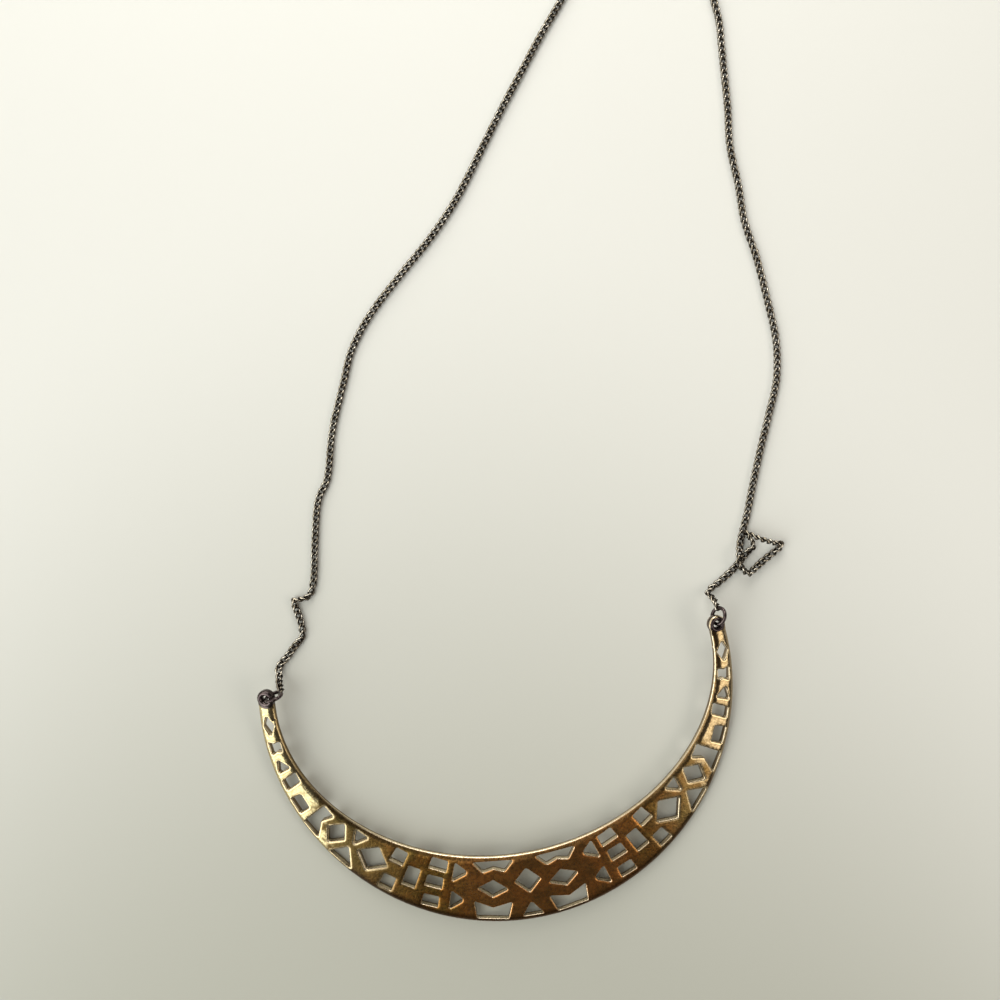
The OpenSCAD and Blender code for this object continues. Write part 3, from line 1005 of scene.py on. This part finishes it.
def antiqued_brass():
    """Gold rubbed clean at the tips, rims rubbed pale with a painted highlight, brown rusty and
    olive patina towards the middle, and painted shade along the edges, round the holes and on the
    walls.

    Places across the crescent are in millimetres from its middle line, and reach about 57 at the
    right eye and -57 at the left one. Gaps are distances from an edge or a hole in millimetres.
    """
    material, n, into = new_metal("antiqued brass")
    place = n.add("ShaderNodeTexCoord").outputs["Object"]
    flat = n.add("ShaderNodeUVMap", {"uv_map": "flat"}).outputs[0]
    level = n.attribute("level")
    spots = n.group(mottling, Place=place, Patch=0.0045).outputs
    marks = n.group(scratches, Place=place, Spacing=0.0012).outputs[0]

    across = n.add("ShaderNodeSeparateXYZ", Vector=flat).outputs[0]
    from_middle = n.math("ABSOLUTE", across)
    on_arms = n.ramp(from_middle, 30, 44)
    outer_gap = n.math("MULTIPLY", oval_distance(n, flat, OUTER_OVAL), -1)
    uneven_edge = n.math("MULTIPLY", spots["Clouds"], 0.25)
    inner_gap = n.math("ADD", oval_distance(n, flat, INNER_OVAL), uneven_edge)
    hole_gap = n.attribute("hole_gap")

    uneven = n.math("ADD", from_middle, n.math("MULTIPLY", spots["Clouds"], 5))
    patina = n.ramp(uneven, 49.5, 54, 1, 0.06)
    face = n.blend(patina, rubbed_gold(n, spots, across, outer_gap),
                   brown_patina(n, spots, across, outer_gap))
    # Painted shade along the rolled inner edge
    face = n.blend(n.ramp(inner_gap, 0.3, 1.3, 0.6, 0), face, INNER_EDGE_PAINTED_SHADE)
    # Painted shade along the inner edge of the right arm
    right_edge_painted_shade = n.math("MULTIPLY", n.ramp(across, 24, 44), n.ramp(inner_gap, 0.6, 2, 0.85, 0))
    face = n.blend(right_edge_painted_shade, face, RIGHT_EDGE_PAINTED_SHADE)
    # Painted shade on the arms just round the holes
    shade_round_holes = n.math("MULTIPLY", n.ramp(hole_gap, 0.6, 1.0, 0.45, 0), on_arms)
    face = n.blend(shade_round_holes, face, HOLE_SHADE)

    # Painted highlight: a light stroke round the holes on the arms
    highlight_stroke = n.math("MULTIPLY", n.ramp(hole_gap, 0.4, 0.6, 0.7, 0), on_arms)
    face = n.blend(highlight_stroke, face, STROKE_HIGHLIGHT_GOLD)
    # Rims rubbed pale, with a painted highlight on the side where the light falls
    rim = n.math("MULTIPLY", n.ramp(level, 0.97, 0.86), n.ramp(spots["Speckle"], 0, 1, 1, 0.75))
    highlight_side = n.math("MAXIMUM", n.ramp(across, -52, -26), n.ramp(inner_gap, 0.5, 0.9))
    face = n.blend(n.math("MULTIPLY", rim, highlight_side), face, RIM_CREAM_HIGHLIGHT)
    brass = n.blend(n.ramp(level, 0.6, 0.25, 0, 0.85), face, wall_colour(n, level))
    # Painted shade round the left eye
    from_left_eye = n.add("ShaderNodeVectorMath", {"operation": "DISTANCE"}, i0=flat,
                          i1=(-eye_arc_length() / MM, 0, 0)).outputs["Value"]
    left_eye_painted_shade = n.ramp(from_left_eye, 2.3, 2.6, 1, 0)
    n.feed(into["Base Color"], n.blend(left_eye_painted_shade, brass, EYE_SHADE))

    speckled = n.math("MULTIPLY", spots["Speckle"], 0.08)
    dulled = n.math("MULTIPLY", patina, 0.08)
    n.feed(into["Roughness"], n.math("ADD", n.math("ADD", speckled, dulled), 0.17))

    waves = n.math("MULTIPLY", n.noise(place, 110, 1, 0.4), 0.22)
    scratched = n.math("MULTIPLY", marks, -0.006)
    grain = n.math("ADD", scratched, n.math("MULTIPLY", spots["Speckle"], 0.012))
    n.feed(into["Normal"], n.bump(1.0, n.math("ADD", waves, grain)))
    return material


def dark_gunmetal():
    """The rings', collars' and clasp's metal: uneven dark oxide, lighter where it is rubbed."""
    material, n, into = new_metal("gunmetal")
    place = n.add("ShaderNodeTexCoord").outputs["Object"]
    spots = n.group(mottling, Place=place, Patch=0.002).outputs
    n.feed(into["Base Color"], n.blend(spots["Clouds"], GUNMETAL_DEEP, GUNMETAL_RUBBED))
    n.feed(into["Roughness"], n.math("ADD", n.math("MULTIPLY", spots["Speckle"], 0.15), 0.2))
    n.feed(into["Normal"], n.bump(0.6, n.math("MULTIPLY", spots["Speckle"], 0.02)))
    return material


def rubbed_chain_metal():
    """Nearly black oxide inside the links, rubbed pale and smooth on their outer crowns, with a
    painted highlight where these face up or down.
    """
    material, n, into = new_metal("oxidised chain metal")
    place = n.add("ShaderNodeTexCoord").outputs["Object"]
    spots = n.group(mottling, Place=place, Patch=0.003).outputs
    crown = n.math("ADD", n.attribute("crown"), n.math("MULTIPLY", spots["Clouds"], 0.12))
    # Rubbed crowns, with a painted highlight where the wire faces up or down
    up_facing_sheen = n.ramp(n.math("ABSOLUTE", n.attribute("upward")), 0.35, 0.85)
    rubbed = n.math("MULTIPLY", n.ramp(crown, 0.6, 0.95), up_facing_sheen)
    oxide = n.blend(spots["Speckle"], BLACK_OXIDE, BROWN_OXIDE)
    bare = n.blend(spots["Second Clouds"], BARE_LINK, BARE_LINK_DIM)
    n.feed(into["Base Color"], n.blend(rubbed, oxide, bare))
    n.feed(into["Roughness"], n.ramp(rubbed, 0, 1, 0.3, 0.15))
    n.feed(into["Normal"], n.bump(0.5, n.math("MULTIPLY", spots["Speckle"], 0.015)))
    return material


# Stage

def lay_floor():
    """A pale table with painted shade, a little darker towards the south."""
    bm = bmesh.new()
    bmesh.ops.create_grid(bm, x_segments=1, y_segments=1, size=TABLE_HALF)
    mesh = bpy.data.meshes.new("table")
    bm.to_mesh(mesh)
    bm.free()
    table = new_object("table", mesh)
    material = bpy.data.materials.new("pale table")
    material.use_nodes = True
    into = material.node_tree.nodes["Principled BSDF"].inputs
    n = Nodes(material.node_tree)
    turned = n.add("ShaderNodeMapping", Vector=n.add("ShaderNodeTexCoord").outputs["Object"],
                   Rotation=(0, 0, -CAMERA_TURN)).outputs[0]
    place = n.add("ShaderNodeSeparateXYZ", Vector=turned).outputs
    sideways = n.math("SUBTRACT", place[0], BOW_MIDDLE)
    bow = n.math("MULTIPLY", n.math("MULTIPLY", sideways, sideways), BOW)
    bowed = n.math("ADD", place[1], n.math("MINIMUM", bow, BOW_LIMIT))
    # Painted shade: the table darkens towards the south and the bottom middle
    n.feed(into["Base Color"], n.blend(n.ramp(bowed, TONE_FROM, TONE_TO), TABLE_PAINTED_SHADE, TABLE_PALE))
    into["Roughness"].default_value = TABLE_ROUGHNESS
    mesh.materials.append(material)


def softbox(name, heading, height, distance, width, depth, glow, colour, over):
    """A soft oblong light, with its glow per unit of area."""
    turn = math.radians(heading)
    rise = math.radians(height)
    way = Vector((math.cos(turn) * math.cos(rise), math.sin(turn) * math.cos(rise), math.sin(rise)))
    data = bpy.data.lights.new(name, "AREA")
    data.shape = "RECTANGLE"
    data.size = width
    data.size_y = depth
    data.energy = glow * math.pi * width * depth
    data.color = colour
    lamp = new_object(name, data)
    lamp.location = Vector(over) + distance * way
    lamp.rotation_euler = (-way).to_track_quat("-Z", "Y").to_euler()


def light_room():
    """The room's own glow: a soft band over the north and west walls, dim elsewhere."""
    world = bpy.data.worlds.new("room")
    bpy.context.scene.world = world
    world.use_nodes = True
    n = Nodes(world.node_tree)
    direction = n.add("ShaderNodeTexCoord").outputs["Generated"]
    way = n.add("ShaderNodeSeparateXYZ", Vector=direction).outputs
    band = n.math("MULTIPLY", n.ramp(way[2], 0.15, 0.45), n.ramp(way[2], 0.7, 0.92, 1, 0))
    to_walls = n.ramp(n.math("SUBTRACT", way[1], way[0]), -0.1, 0.8)
    into = world.node_tree.nodes["Background"].inputs
    into["Color"].default_value = ROOM_GLOW
    n.feed(into["Strength"], n.math("ADD", n.math("MULTIPLY", band, to_walls), LEAST_GLOW))


place_camera()

mottling = make_mottling()
scratches = make_scratches()
edge_distance = make_edge_distance()
brass = antiqued_brass()
gunmetal = dark_gunmetal()
dark_chain = rubbed_chain_metal()

plate_mesh, plate_lift = crescent_mesh()
plate = finish_piece("crescent", plate_mesh, brass, "antiqued_brass", "crescent_plate")
weigh_normals(plate)

eyes = {side: eye_place(side, plate_lift) for side in (-1, 1)}
for side, name in ((-1, "eye_collar_left"), (1, "eye_collar_right")):
    collar = new_object(name, eye_collar_mesh(name, side, plate_lift))
    collar.data.materials.append(gunmetal)
    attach(collar, "root")
end_ring_z = END_RING[0] / 2
clasp_eye = Vector((CLASP_X - CLASP_L / 2 + CLASP_EYE_R, CLASP_Y, end_ring_z))
clasp_hook = Vector((CLASP_X + CLASP_L / 2 - CLASP_HOOK_R + END_RING_OFFSET, CLASP_Y,
                     end_ring_z))
rings = {
    "jump_ring_left": (eyes[-1], JUMP_RING, LEFT_RING),
    "jump_ring_right": (eyes[1], JUMP_RING, RIGHT_RING),
    "end_ring_left": (clasp_eye, END_RING, END_LEFT_RING),
    "end_ring_right": (clasp_hook, END_RING, END_RIGHT_RING),
}
for node, (through, size, pose) in rings.items():
    finish_piece(node + "_wire", ring_mesh(node, through, size, pose), gunmetal, "gunmetal", node)

left_mesh = chain_mesh("left chain", LEFT_ROUTE, LEFT_KINKS, LEFT_ROLL,
                       ring_point(*rings["jump_ring_left"], LEFT_HOLD),
                       ring_point(*rings["end_ring_left"], END_HOLD))
finish_piece("curb_chain_left", left_mesh, dark_chain, "oxidised_chain", "chain_left")
right_mesh = chain_mesh("right chain", RIGHT_ROUTE, RIGHT_KINKS, RIGHT_ROLL,
                        ring_point(*rings["jump_ring_right"], RIGHT_HOLD),
                        ring_point(*rings["end_ring_right"], END_HOLD))
finish_piece("curb_chain_right", right_mesh, dark_chain, "oxidised_chain", "chain_right")
clasp = finish_piece("clasp_body", clasp_mesh(), gunmetal, "gunmetal", "clasp")
weigh_normals(clasp)

lay_floor()
for lamp in LAMPS:
    softbox(*lamp)
light_room()
bpy.context.scene.view_settings.view_transform = "Standard"
